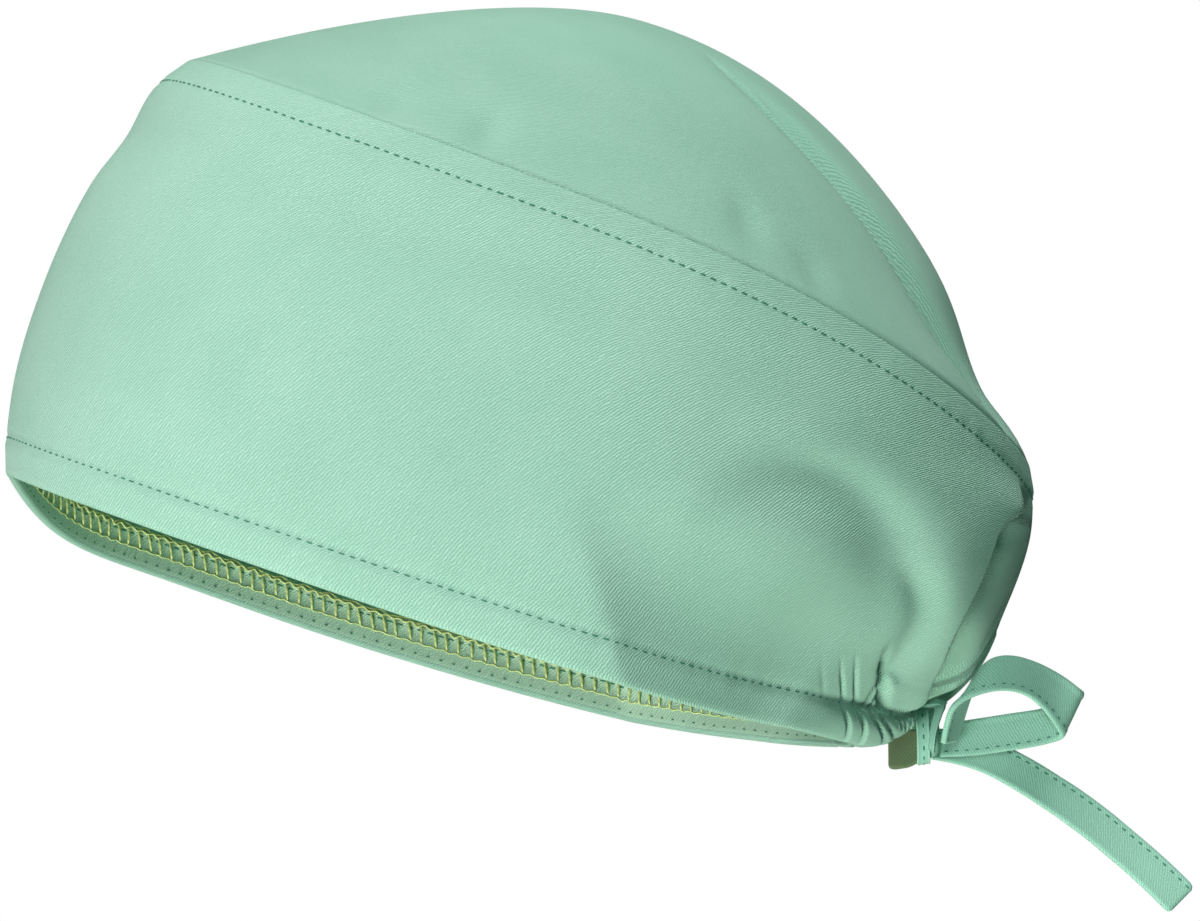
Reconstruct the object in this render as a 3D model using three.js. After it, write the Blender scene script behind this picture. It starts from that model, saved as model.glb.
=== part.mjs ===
// Tie-back surgeon's cap of twill cloth, in the shape that it has when worn.
// Millimetres, +Z up. The wearer faces -X and their left side is -Y.
// The origin is the middle of the rim, where the cap sits on the head.

import * as THREE from 'three';

// Rim, measured in its own plane
const rimLength = 212;
const rimWidth = 158;
const rimTilt = 16.5; // degrees that the rim rises towards the forehead
const widestPlace = 9; // behind the middle of the rim
const rimSideDrop = 9.4; // the edge hangs lower over the ears
const rimDropEase = 0.25; // softens that drop at the forehead and the nape
const rimLeftDrop = 5.2; // and the left side hangs lower behind the ear than the right
// Where the right side's edge hangs lower still: degrees from the forehead by the left side, half width
// in degrees, and drop
const rimDrops = [
  { angle: 329, half: 15, drop: 2.5 },
  { angle: 226, half: 32, drop: 1.6 },
];
const frontSquareness = { rim: 2.3, seam: 2.15 }; // power of the front half's oval
const ellipsePower = 2; // and of the rear half's
const hemHeight = 8.4;

// Cloth
const clothWall = 1.2;
const hemWall = 1.9; // the turned-up hem is double
const seamGap = 0.3;

// Seam between band and crown: heights above the rim plane
const seamMean = 83;
const seamTilt = 17; // higher at the front, lower at the nape, by this much
const seamSideRise = 2.4;
const seamRearRise = 7;

// Crown
const crownTop = 138.2;
const crownFullness = { front: 1.57, side: 2.1, back: 2.10 }; // power of the dome's profile
// Behind, the seam draws the crown in
const seamTuck = { reach: 0.88, half: 0.1, depth: 3.6, halfAngle: 42, fades: 0.9 };

// Arched opening above the knot
const archRise = 22;
const archAngle = 177; // degrees from the forehead, so a little to the left
const archHalfAngle = 11;
// The drawn casing closes the rim behind
const pinch = { share: 0.86, begins: 138, full: 170, fades: 0.02, gone: 0.5 };

// Meshing
const bandStations = 132;
const bandRows = 11;
const crownStations = 96;
const crownRows = 8;
const napeCrowding = 0.6; // stations lie closer together at the gathered nape
const stationsPerRow = 3; // of a ribbon, between two rows of its route
const slopeStep = 0.004; // of the parameters, where a slope is measured
const sharpestMitre = 0.5; // cosine of half the turn at the seam

// How far the wall stands out from the rim, by share of the band's height
const wallProfile = [
  { up: 0.00, front: -0.3, side: 0.0, back: -3.0 },
  { up: 0.10, front: 2.7, side: 1.4, back: -1.0 },
  { up: 0.22, front: 4.6, side: 2.6, back: 3.6 },
  { up: 0.35, front: 5.0, side: 3.2, back: 7.0 },
  { up: 0.52, front: 3.9, side: 3.0, back: 8.4 },
  { up: 0.68, front: 1.1, side: 1.4, back: 9.4 },
  { up: 0.80, front: -3.2, side: -0.4, back: 9.2 },
  { up: 0.92, front: -5.8, side: -2.6, back: 7.3 },
  { up: 1.00, front: -11.4, side: -5.0, back: 4.9 },
];

// Folds of the band: degrees from the forehead, degrees that the fold swings back towards the rim, half
// widths in degrees before and behind it, depth in millimetres (a ridge is negative), and the shares of the
// height where it begins, is full, starts to fade and is gone
const bandFolds = [
  {
    angle: 155, swing: 9, before: 3.2, behind: 5.0, depth: 12.0,
    begins: 0.08, full: 0.30, fades: 0.70, gone: 0.92,
  },
  {
    angle: 147, swing: 8, before: 9.0, behind: 3.4, depth: -2.4,
    begins: 0.12, full: 0.42, fades: 0.70, gone: 0.92,
  },
  {
    angle: 141, swing: 8, before: 3.6, behind: 3.6, depth: 2.0,
    begins: 0.10, full: 0.28, fades: 0.40, gone: 0.70,
  },
];
const foldSwing = { low: 0.12, high: 0.44 };

// Rear quarter drawn in by the tie: from this angle the wall falls away over a run of cloth, most at the
// rim; the rest are heights and angles between which it eases off
const drawnRear = { angle: 101.5, depth: 8, run: 12, soft: 2.5, up: 14, gone: 44, eases: 130, over: 160 };

// Puffed rear quarter with a curved hollow above it, which begins and is full at slopes of the way up
const puff = { angle: 123, up: 28, radius: 20, height: 3.0 };
const hollow = {
  radius: 26, within: 8.5, beyond: 5.5, depth: 2.8, begins: -0.25, full: 0.6, left: -30, right: -8,
};
const wallPerDegree = 1.55; // millimetres of wall in one degree

// Pleat of the crown on each side, from the seam forwards towards the top
const pleatFades = 0.94;
const crownPleat = { angle: 160, swing: 74, half: 5.5, depth: 1.8, begins: 0.36, full: 0.66 };

// Ties
const tieWidth = 8.6;
const tieThick = 1.6;

// Knot: sections across it from the forehead side to the back
const knotMiddle = { y: -1.2, z: -26.6 };
const knotSides = 14;
const knotBulge = 0.2; // of its two ends
const knotSections = [
  { x: 100.5, depth: 2.6, height: 4.4 },
  { x: 101.3, depth: 3.6, height: 5.4 },
  { x: 102.2, depth: 3.9, height: 5.8 },
  { x: 102.9, depth: 3.3, height: 5.3 },
  { x: 103.6, depth: 3.7, height: 5.6 },
  { x: 104.4, depth: 3.2, height: 5.0 },
  { x: 104.8, depth: 2.4, height: 4.0 },
];

// Routes of the ties, by hand. lean turns the ribbon's width in the side view, from upright towards +X,
// out turns it towards +Y, both in degrees, and span is the share of the tie's width there
const loopRoute = [
  { x: 107.0, y: -3.0, z: -28.6, lean: 72, out: 60, span: 0.81 },
  { x: 108.0, y: -5.4, z: -24.4, lean: 68, out: 58, span: 0.93 },
  { x: 109.4, y: -8.0, z: -20.2, lean: 52, out: 52, span: 1.00 },
  { x: 111.8, y: -9.4, z: -16.8, lean: 24, out: 42, span: 1.00 },
  { x: 115.8, y: -9.2, z: -14.4, lean: 6, out: 30, span: 1.02 },
  { x: 120.4, y: -7.6, z: -13.8, lean: 4, out: 24, span: 1.02 },
  { x: 125.2, y: -5.8, z: -15.0, lean: 12, out: 20, span: 1.00 },
  { x: 129.8, y: -3.8, z: -17.8, lean: 22, out: 12, span: 1.08 },
  { x: 133.4, y: -1.8, z: -21.2, lean: 26, out: 0, span: 1.23 },
  { x: 134.3, y: 0.2, z: -22.2, lean: 26, out: 0, span: 1.26 },
  { x: 132.8, y: 2.2, z: -23.2, lean: 22, out: 0, span: 1.19 },
  { x: 127.4, y: 2.8, z: -24.8, lean: 12, out: 0, span: 1.02 },
  { x: 120.0, y: 2.8, z: -26.0, lean: 9, out: 0, span: 1.00 },
  { x: 113.0, y: 2.8, z: -27.0, lean: 9, out: 0, span: 0.98 },
  { x: 105.7, y: 2.2, z: -27.8, lean: 8, out: 0, span: 0.88 },
];
const tailRoute = [
  { x: 103.6, y: 4.0, z: -28.4, lean: 4, out: 0, span: 0.81 },
  { x: 108.2, y: 4.9, z: -28.9, lean: 6, out: 0, span: 0.87 },
  { x: 112.9, y: 5.6, z: -29.9, lean: 10, out: 1, span: 0.91 },
  { x: 117.3, y: 5.7, z: -31.6, lean: 17, out: 4, span: 0.91 },
  { x: 121.5, y: 5.6, z: -33.8, lean: 25, out: 9, span: 0.92 },
  { x: 125.6, y: 5.4, z: -36.2, lean: 30, out: 12, span: 0.94 },
  { x: 129.6, y: 5.2, z: -38.8, lean: 33, out: 14, span: 0.96 },
  { x: 133.5, y: 4.9, z: -41.4, lean: 35, out: 16, span: 0.98 },
  { x: 137.3, y: 4.6, z: -44.2, lean: 36, out: 18, span: 1.00 },
  { x: 141.0, y: 4.3, z: -47.1, lean: 37, out: 18, span: 1.00 },
  { x: 144.6, y: 4.0, z: -50.2, lean: 39, out: 18, span: 1.00 },
  { x: 148.2, y: 3.7, z: -53.3, lean: 41, out: 18, span: 1.00 },
  { x: 151.7, y: 3.3, z: -56.5, lean: 43, out: 16, span: 1.00 },
  { x: 155.1, y: 2.9, z: -59.8, lean: 44, out: 15, span: 1.00 },
  { x: 158.4, y: 2.4, z: -63.2, lean: 45, out: 14, span: 1.00 },
];
const endRoute = [
  { x: 100.0, y: -0.9, z: -29.4, lean: 0, out: 2, span: 0.88 },
  { x: 98.2, y: -0.8, z: -29.8, lean: 0, out: 2, span: 0.98 },
  { x: 96.0, y: -0.5, z: -30.1, lean: 0, out: 3, span: 1.00 },
  { x: 93.7, y: 0.2, z: -30.3, lean: 0, out: 4, span: 1.00 },
];

const degrees = THREE.MathUtils.degToRad;
const smooth = (from, to, value) => THREE.MathUtils.smoothstep(value, from, to);
const bell = (value, half) => Math.exp(-((value / half) ** 2));

// Degrees from the forehead, by the left side
function turnOf(angle) {
  return THREE.MathUtils.euclideanModulo(THREE.MathUtils.radToDeg(angle), 360);
}

// Degrees from the forehead, the same on both sides
function sideAngle(angle) {
  return 180 - Math.abs(180 - turnOf(angle));
}

// Smooth curve through one column of a table
function column(table, key, name, value) {
  let row = 0;
  while (row < table.length - 2 && value > table[row + 1][key]) row += 1;
  const at = (index) => table[THREE.MathUtils.clamp(index, 0, table.length - 1)];
  const slope = (index) => {
    const run = at(index + 1)[key] - at(index - 1)[key];
    return (at(index + 1)[name] - at(index - 1)[name]) / run;
  };
  const step = at(row + 1)[key] - at(row)[key];
  const t = (value - at(row)[key]) / step;
  const start = at(row)[name];
  const end = at(row + 1)[name];
  const bend = start - end;
  const rise = slope(row) * step;
  const fall = slope(row + 1) * step;
  return start + t * (rise + t * (-3 * bend - 2 * rise - fall + t * (2 * bend + rise + fall)));
}

function rimHeight(angle) {
  const aside = Math.sin(angle);
  const behind = (1 - Math.cos(angle)) / 2;
  const ease = Math.hypot(aside, rimDropEase) - rimDropEase;
  const most = Math.hypot(1, rimDropEase) - rimDropEase;
  let low = (-rimSideDrop * ease) / most - rimLeftDrop * aside * behind;
  for (const { angle: middle, half, drop } of rimDrops) low -= drop * bell(turnOf(angle) - middle, half);
  return low;
}

function seamHeight(angle) {
  const ahead = Math.cos(angle);
  return seamMean + seamTilt * ahead + (seamSideRise - seamRearRise * ahead) * Math.sin(angle) ** 2;
}

// Height of the arched opening's edge above the rim
function archHeight(angle) {
  return archRise * bell(turnOf(angle) - archAngle, archHalfAngle);
}

// Outward displacement of the band by its folds and its puffed rear quarter
function bandRelief(angle, up) {
  const turn = sideAngle(angle);
  let out = 0;
  for (const fold of bandFolds) {
    const reach = smooth(fold.begins, fold.full, up) * (1 - smooth(fold.fades, fold.gone, up));
    const aside = turn - fold.angle - fold.swing * (1 - smooth(foldSwing.low, foldSwing.high, up));
    out -= fold.depth * reach * bell(aside, aside < 0 ? fold.before : fold.behind);
  }
  const height = up * (seamHeight(angle) - rimHeight(angle));
  const past = ((turn - drawnRear.angle) * wallPerDegree) / drawnRear.soft;
  const run = drawnRear.soft * (Math.log1p(Math.exp(-Math.abs(past))) + Math.max(past, 0));
  const drawn = (1 - Math.exp(-run / drawnRear.run)) * (1 - smooth(drawnRear.eases, drawnRear.over, turn));
  out -= drawnRear.depth * drawn * (1 - smooth(drawnRear.up, drawnRear.gone, height));
  const along = (turn - puff.angle) * wallPerDegree;
  const above = height - puff.up;
  const distance = Math.hypot(along, above);
  const beyond = distance - hollow.radius;
  const slope = above / (distance + 1);
  const upper = smooth(hollow.begins, hollow.full, slope) * smooth(hollow.left, hollow.right, along);
  out += puff.height * bell(distance, puff.radius);
  out -= hollow.depth * upper * bell(beyond, beyond < 0 ? hollow.within : hollow.beyond);
  return out;
}

// The oval of the wall at a share of its height, with the casing drawn together behind
function wallOval(angle, up) {
  const front = rimLength / 2 + column(wallProfile, 'up', 'front', up) + widestPlace;
  const back = rimLength / 2 + column(wallProfile, 'up', 'back', up) - widestPlace;
  const side = rimWidth / 2 + column(wallProfile, 'up', 'side', up);
  const ahead = Math.cos(angle);
  const aside = Math.sin(angle);
  const long = ahead > 0 ? front : back;
  const { rim, seam } = frontSquareness;
  const power = ahead > 0 ? THREE.MathUtils.lerp(rim, seam, up) : ellipsePower;
  const square = (Math.abs(ahead) ** power + Math.abs(aside) ** power) ** (-1 / power);
  const drawn = smooth(pinch.begins, pinch.full, sideAngle(angle));
  const open = 1 - pinch.share * drawn * (1 - smooth(pinch.fades, pinch.gone, up));
  const outward = new THREE.Vector3(-ahead * side, -aside * long, 0).normalize();
  const place = new THREE.Vector3(widestPlace - long * ahead * square, -side * aside * square * open, 0);
  return { place, outward };
}

// Point of the band's outer face: rise goes from the free edge, 0, to the seam, 1
function bandPoint(angle, rise) {
  const low = rimHeight(angle);
  const wall = seamHeight(angle) - low;
  const opening = archHeight(angle) / wall;
  const up = opening + rise * (1 - opening);
  const { place, outward } = wallOval(angle, up);
  place.addScaledVector(outward, bandRelief(angle, up));
  place.z = low + up * wall;
  return place;
}

// Point of the crown's outer face: reach goes from the top, 0, to the seam, 1
function crownPoint(angle, reach) {
  const seam = bandPoint(angle, 1);
  const ahead = Math.cos(angle);
  const { front, side, back } = crownFullness;
  const power = side + ((ahead > 0 ? front : back) - side) * ahead ** 2;
  const fall = reach ** power;
  const place = new THREE.Vector3(seam.x * reach, seam.y * reach, crownTop + (seam.z - crownTop) * fall);
  const behind = bell(180 - sideAngle(angle), seamTuck.halfAngle);
  const tuck = bell(reach - seamTuck.reach, seamTuck.half) * (1 - smooth(seamTuck.fades, 1, reach));
  const length = smooth(crownPleat.begins, crownPleat.full, reach) * (1 - smooth(pleatFades, 1, reach));
  const aside = sideAngle(angle) - crownPleat.angle + crownPleat.swing * (1 - reach);
  const out = -seamTuck.depth * behind * tuck - crownPleat.depth * length * bell(aside, crownPleat.half);
  const { outward } = wallOval(angle, 1);
  return place.addScaledVector(outward.multiplyScalar(reach).setZ(1).normalize(), out);
}

// Outward unit normal of a surface of two parameters
function normalOf(surface, angle, across) {
  const around = surface(angle + slopeStep, across).sub(surface(angle - slopeStep, across));
  const from = Math.max(across - slopeStep, 0);
  const to = Math.min(across + slopeStep, 1);
  const along = surface(angle, to).sub(surface(angle, from));
  return around.cross(along).normalize();
}

// The two walls meet in a mitre at the seam
function seamInward(angle) {
  const wall = normalOf(bandPoint, angle, 1);
  const dome = normalOf(crownPoint, angle, 1).negate();
  const half = wall.clone().add(dome).normalize();
  return half.multiplyScalar(-clothWall / Math.max(half.dot(wall), sharpestMitre));
}

// Closed solid from vertices and triangles
function solid(name, points, triangles, material) {
  const geometry = new THREE.BufferGeometry().setFromPoints(points);
  geometry.setIndex(triangles.flat());
  geometry.computeVertexNormals();
  const mesh = new THREE.Mesh(geometry, material);
  mesh.name = name;
  return mesh;
}

// Angles of the stations round the cap
function stationAngles(count) {
  return Array.from({ length: count }, (_, index) => {
    const turn = (2 * Math.PI * index) / count;
    return turn + napeCrowding * Math.sin(turn);
  });
}

// Two triangles for each cell between two rings, facing the side from which ring b is above ring a
function ringStrip(a, b, count) {
  const triangles = [];
  for (let index = 0; index < count; index += 1) {
    const next = (index + 1) % count;
    triangles.push([a + index, a + next, b + next], [a + index, b + next, b + index]);
  }
  return triangles;
}

// Fan of triangles that closes a ring on one vertex, facing the side from which the vertex is above
function ringFan(ring, centre, count) {
  const triangles = [];
  for (let index = 0; index < count; index += 1) {
    triangles.push([ring + index, ring + ((index + 1) % count), centre]);
  }
  return triangles;
}

const reversed = (triangles) => triangles.map(([a, b, c]) => [a, c, b]);

function cloth(colour) {
  return new THREE.MeshStandardMaterial({ color: colour, roughness: 0.9, metalness: 0 });
}

// Wall of the cap: two rows take the double hem, the others share the rest of the height
function makeBand() {
  const angles = stationAngles(bandStations);
  const riseOf = (angle, row) => {
    const hem = hemHeight / (seamHeight(angle) - rimHeight(angle));
    return row === 0 ? 0 : hem + ((row - 1) / (bandRows - 1)) * (1 - hem);
  };
  const outer = [];
  const inner = [];
  for (let row = 0; row <= bandRows; row += 1) {
    for (const angle of angles) {
      const rise = riseOf(angle, row);
      const point = bandPoint(angle, rise);
      const wall = row < 2 ? hemWall : clothWall;
      const square = normalOf(bandPoint, angle, rise).multiplyScalar(-wall);
      outer.push(point);
      inner.push(point.clone().add(row === bandRows ? seamInward(angle) : square));
    }
  }
  const layer = outer.length;
  const lastRing = layer - bandStations;
  const triangles = [];
  for (let low = 0; low < lastRing; low += bandStations) {
    const high = low + bandStations;
    triangles.push(...ringStrip(low, high, bandStations));
    triangles.push(...ringStrip(layer + high, layer + low, bandStations));
  }
  triangles.push(...ringStrip(layer, 0, bandStations));
  triangles.push(...ringStrip(lastRing, layer + lastRing, bandStations));
  return solid('side_band', [...outer, ...inner], triangles, cloth(0x9fcfb7));
}

// Dome over the seam, closed at its top
function makeCrown() {
  const angles = stationAngles(crownStations);
  const outer = [];
  const inner = [];
  for (let row = 0; row < crownRows; row += 1) {
    for (const angle of angles) {
      const radius = Math.hypot(...bandPoint(angle, 1).toArray().slice(0, 2));
      const reach = 1 - row / crownRows - (row === 0 ? seamGap / radius : 0);
      const point = crownPoint(angle, reach);
      const square = normalOf(crownPoint, angle, reach).multiplyScalar(clothWall);
      outer.push(point);
      inner.push(point.clone().add(row === 0 ? seamInward(angle) : square));
    }
  }
  const layer = outer.length;
  const lastRing = layer - crownStations;
  const outerTop = 2 * layer;
  const triangles = [];
  for (let low = 0; low < lastRing; low += crownStations) {
    const high = low + crownStations;
    triangles.push(...ringStrip(low, high, crownStations));
    triangles.push(...ringStrip(layer + high, layer + low, crownStations));
  }
  triangles.push(...ringStrip(layer, 0, crownStations));
  triangles.push(...ringFan(lastRing, outerTop, crownStations));
  triangles.push(...reversed(ringFan(layer + lastRing, outerTop + 1, crownStations)));
  const tops = [new THREE.Vector3(0, 0, crownTop), new THREE.Vector3(0, 0, crownTop - clothWall)];
  return solid('crown', [...outer, ...inner, ...tops], triangles, cloth(0x97c8b0));
}

// Flat ribbon along a route, with its width turned as the route's rows say
function makeRibbon(name, route) {
  const stations = stationsPerRow * (route.length - 1);
  const centre = new THREE.CatmullRomCurve3(route.map(({ x, y, z }) => new THREE.Vector3(x, y, z)));
  const widths = new THREE.CatmullRomCurve3(route.map(({ lean, out, span }) => {
    const flat = Math.cos(degrees(out));
    const width = new THREE.Vector3(
      Math.sin(degrees(lean)) * flat,
      Math.sin(degrees(out)),
      Math.cos(degrees(lean)) * flat,
    );
    return width.multiplyScalar((span * tieWidth) / 2);
  }));
  const points = [];
  for (let station = 0; station <= stations; station += 1) {
    const t = station / stations;
    const middle = centre.getPoint(t);
    const width = widths.getPoint(t);
    const face = centre.getTangent(t).cross(width).normalize().multiplyScalar(tieThick / 2);
    for (const [edge, side] of [[1, 1], [-1, 1], [-1, -1], [1, -1]]) {
      points.push(middle.clone().addScaledVector(width, edge).addScaledVector(face, side));
    }
  }
  const triangles = [];
  const last = 4 * stations;
  for (let ring = 0; ring < last; ring += 4) triangles.push(...ringStrip(ring, ring + 4, 4));
  triangles.push([0, 2, 1], [0, 3, 2], [last, last + 1, last + 2], [last, last + 2, last + 3]);
  return solid(name, points, triangles, cloth(0x93c4ac));
}

// Lobed knot, a row of rounded sections closed at both ends
function makeKnot() {
  const points = [];
  for (const { x, depth, height } of knotSections) {
    for (let side = 0; side < knotSides; side += 1) {
      const turn = (2 * Math.PI * side) / knotSides;
      points.push(new THREE.Vector3(
        x,
        knotMiddle.y + depth * Math.cos(turn),
        knotMiddle.z + height * Math.sin(turn),
      ));
    }
  }
  const lastRing = points.length - knotSides;
  const first = points.length;
  points.push(new THREE.Vector3(knotSections[0].x - knotBulge, knotMiddle.y, knotMiddle.z));
  points.push(new THREE.Vector3(knotSections.at(-1).x + knotBulge, knotMiddle.y, knotMiddle.z));
  const triangles = [];
  for (let ring = 0; ring < lastRing; ring += knotSides) {
    triangles.push(...ringStrip(ring, ring + knotSides, knotSides));
  }
  triangles.push(...reversed(ringFan(0, first, knotSides)));
  triangles.push(...ringFan(lastRing, first + 1, knotSides));
  return solid('tie_knot', points, triangles, cloth(0x8dbfa6));
}

const cap = new THREE.Group();
const sewn = new THREE.Group();
sewn.rotation.y = degrees(rimTilt);
sewn.add(makeBand(), makeCrown());
cap.add(sewn, makeKnot());
cap.add(makeRibbon('tie_loop', loopRoute));
cap.add(makeRibbon('tie_tail', tailRoute));
cap.add(makeRibbon('tie_end', endRoute));

export default cap;
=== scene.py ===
import math

import bpy
import numpy as np
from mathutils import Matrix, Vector


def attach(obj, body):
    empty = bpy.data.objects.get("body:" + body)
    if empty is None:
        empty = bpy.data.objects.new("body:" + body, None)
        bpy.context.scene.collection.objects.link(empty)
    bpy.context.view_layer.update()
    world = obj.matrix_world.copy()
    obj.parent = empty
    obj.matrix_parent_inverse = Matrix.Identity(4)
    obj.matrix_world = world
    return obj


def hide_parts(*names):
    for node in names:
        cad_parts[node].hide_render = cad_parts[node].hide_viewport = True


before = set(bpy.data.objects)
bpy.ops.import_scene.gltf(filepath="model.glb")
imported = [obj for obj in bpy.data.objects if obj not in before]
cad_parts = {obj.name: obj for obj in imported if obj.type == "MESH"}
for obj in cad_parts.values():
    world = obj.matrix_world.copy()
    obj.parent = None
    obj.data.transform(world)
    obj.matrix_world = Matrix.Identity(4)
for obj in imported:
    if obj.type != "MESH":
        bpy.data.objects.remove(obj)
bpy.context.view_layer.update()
print("frame loaded:", ", ".join(sorted(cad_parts)))

mm = 0.001

# camera where the photo's stood: level with the ties, looking slightly up at the left side of the cap
shot = dict(target=(0.0299, 0.0, 0.0344), distance=1.6, elevation=-7.1, lens=216, sensor=36)


def setCamera():
    data = bpy.data.cameras.new("shot")
    data.lens, data.sensor_width = shot["lens"], shot["sensor"]
    data.clip_start, data.clip_end = 0.05, 50
    camera = bpy.data.objects.new("shot", data)
    bpy.context.scene.collection.objects.link(camera)
    rise = math.radians(shot["elevation"])
    back = Vector((0, -math.cos(rise), math.sin(rise)))
    camera.location = Vector(shot["target"]) + back * shot["distance"]
    camera.rotation_euler = (-back).to_track_quat("-Z", "Y").to_euler()
    bpy.context.scene.camera = camera


setCamera()


# small maths that the surfaces share; lengths are millimetres until a mesh is made

def smooth(low, high, value):  # 0 below low, 1 above high, eased between
    t = np.clip((value - low) / (high - low), 0, 1)
    return t * t * (3 - 2 * t)


def bell(value, half):  # 1 at zero, falling to 1/e at half
    return np.exp(-(value / half) ** 2)


def between(low, full, fades, gone, value):  # 0 below low, 1 from full to fades, 0 above gone
    return smooth(low, full, value) * (1 - smooth(fades, gone, value))


def lopsided(value, before, behind):  # a bell with its own half width on each side of zero
    return bell(value, np.where(value < 0, before, behind))


def unit(vectors):
    return vectors / np.linalg.norm(vectors, axis=-1, keepdims=True)


def throughKnots(knots, values, at):
    # cubic through the values at the knots, with the slope at a knot taken between its two neighbours
    knots, values = np.asarray(knots, float), np.asarray(values, float)
    values = values.reshape(len(knots), -1)
    ahead, behind = np.r_[1:len(knots), len(knots) - 1], np.r_[0, 0:len(knots) - 1]
    slopes = (values[ahead] - values[behind]) / (knots[ahead] - knots[behind])[:, None]
    at = np.asarray(at, float)
    row = np.clip(np.searchsorted(knots, at) - 1, 0, len(knots) - 2)
    step = (knots[row + 1] - knots[row])[..., None]
    t = (at - knots[row])[..., None] / step
    start, bend = values[row], values[row] - values[row + 1]
    rise, fall = slopes[row] * step, slopes[row + 1] * step
    curve = start + t * (rise + t * (-3 * bend - 2 * rise - fall + t * (2 * bend + rise + fall)))
    return curve[..., 0] if curve.shape[-1] == 1 else curve


def wander(theta, waves, seed):  # slow uneven swing round the cap, a sum of sines with seeded phases
    draw = np.random.default_rng(seed)
    swing = sum(np.sin(count * theta + draw.uniform(0, 2 * math.pi)) for count in waves)
    return swing / len(waves)


def wayAlong(path):  # length from a path's first point to each of its points
    return np.r_[0, np.cumsum(np.linalg.norm(np.diff(path, axis=0), axis=1))]


def meanClimb(grid):  # length from a grid's first row to each of its rows, the mean of its columns
    return np.r_[0, np.cumsum(np.linalg.norm(np.diff(grid, axis=0), axis=2).mean(1))]


def roundTurn(count):  # equal steps of one turn
    return 2 * math.pi * np.arange(count) / count


# meshes

def newPiece(name, vertices, faces, uv, material, node=None):
    # faces: one array of quads and, if need be, one of triangles; uv: a pair for each corner, in face order
    mesh = bpy.data.meshes.new(name)
    loops = np.concatenate([f.ravel() for f in faces]).astype(np.int32)
    sizes = np.concatenate([np.full(len(f), f.shape[1]) for f in faces]).astype(np.int32)
    mesh.vertices.add(len(vertices))
    mesh.vertices.foreach_set("co", (np.asarray(vertices) * mm).astype(np.float32).ravel())
    mesh.loops.add(len(loops))
    mesh.loops.foreach_set("vertex_index", loops)
    mesh.polygons.add(len(sizes))
    mesh.polygons.foreach_set("loop_start", np.r_[0, np.cumsum(sizes)[:-1]].astype(np.int32))
    mesh.polygons.foreach_set("use_smooth", np.ones(len(sizes), bool))
    layer = mesh.uv_layers.new(name="cloth")
    layer.uv.foreach_set("vector", (np.asarray(uv) * mm).astype(np.float32).ravel())
    mesh.update(calc_edges=True)
    mesh.validate()
    piece = bpy.data.objects.new(name, mesh)
    bpy.context.scene.collection.objects.link(piece)
    mesh.materials.append(material)
    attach(piece, "root")
    if node:
        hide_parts(node)
    return piece


def gridFaces(rows, columns, closed):
    # quads of a grid whose columns go round, joined again to the first if closed
    row, column = np.mgrid[0:rows - 1, 0:columns if closed else columns - 1]
    after = (column + 1) % columns
    corners = [row * columns + column, row * columns + after,
               (row + 1) * columns + after, (row + 1) * columns + column]
    return np.stack(corners, -1).reshape(-1, 4)


def gridCorners(uv):
    # the uv pairs of a grid's quads, in the order of gridFaces; a closed grid's uv has one more column
    return np.stack([uv[:-1, :-1], uv[:-1, 1:], uv[1:, 1:], uv[1:, :-1]], -2).reshape(-1, 2)


def uvGrid(along, across):  # uv of a grid from a measure of its rows and one of its columns
    return np.stack(np.broadcast_arrays(along[:, None], across[None, :]), -1)


def thicken(piece, thickness):  # the wall grows inwards from the face that shows
    wall = piece.modifiers.new("wall", "SOLIDIFY")
    wall.thickness, wall.offset = thickness * mm, -1
    wall.use_even_offset = False
    return piece


# the cap's own shape: sizes of the rim, the seam and the dome, in the plane of the rim
cap = dict(
    rimLength=212, rimWidth=158, rimTilt=16.5, widestPlace=9,
    rimSideDrop=9.4, rimDropEase=0.25, rimLeftDrop=5.2, rimSquareness=2.3, seamSquareness=2.15,
    seamMean=83, seamTilt=17, seamSideRise=2.4, seamRearRise=7,
    crownTop=138.2, frontFullness=1.57, sideFullness=2.1, backFullness=2.10,
    archRise=22, archAngle=177, archHalf=11,
    pinchShare=0.86, pinchBegins=138, pinchFull=170, pinchFades=0.02, pinchGone=0.5,
    wallPerDegree=1.55,
)

# how far the wall stands out from the rim, by share of its height
wallProfile = dict(
    up=[0.00, 0.10, 0.22, 0.35, 0.52, 0.68, 0.80, 0.92, 1.00],
    front=[-0.3, 2.7, 4.6, 5.0, 3.9, 1.1, -3.2, -5.8, -11.4],
    side=[0.0, 1.4, 2.6, 3.2, 3.0, 1.4, -0.4, -2.6, -5.0],
    back=[-3.0, -1.0, 3.6, 7.0, 8.4, 9.4, 9.2, 7.3, 4.9],
)

# where the right side's edge hangs lower: degrees from the forehead by the left side, half width, drop
rimDrops = [dict(angle=329, half=15, drop=2.5), dict(angle=226, half=32, drop=1.6)]

# folds of the band: degrees from the forehead, degrees that a fold swings back towards the rim, half widths
# in degrees before and behind it, depth (a ridge is negative), how far it laps towards the nape, and shares
# of the height where it begins, is full, starts to fade and is gone
bandFolds = [
    dict(angle=155.0, swing=9.0, before=2.0, behind=5.0, depth=18.0, lap=0.0,
         begins=0.08, full=0.30, fades=0.77, gone=0.92),
    dict(angle=148.8, swing=10.0, before=12.0, behind=2.4, depth=-3.0, lap=8.0,
         begins=0.12, full=0.42, fades=0.77, gone=0.92),
]
# shares of the height between which the folds swing, and the degrees that they swing back near the seam
foldSwing = dict(low=0.12, high=0.44, topLow=0.67, topHigh=0.91, top=12.0)
puff = dict(angle=123, up=28, radius=20, height=0.9)  # the full rear quarter
# the dent over it, and the swell beyond the dent
hollow = dict(radius=26, within=8.5, beyond=5.5, depth=2.8, begins=-0.25, full=0.6, left=(-24, 2),
              swell=1.7, swellPast=7.0, swellWithin=6.0, swellBeyond=10.0, swellFades=(0.86, 1.0))
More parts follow.
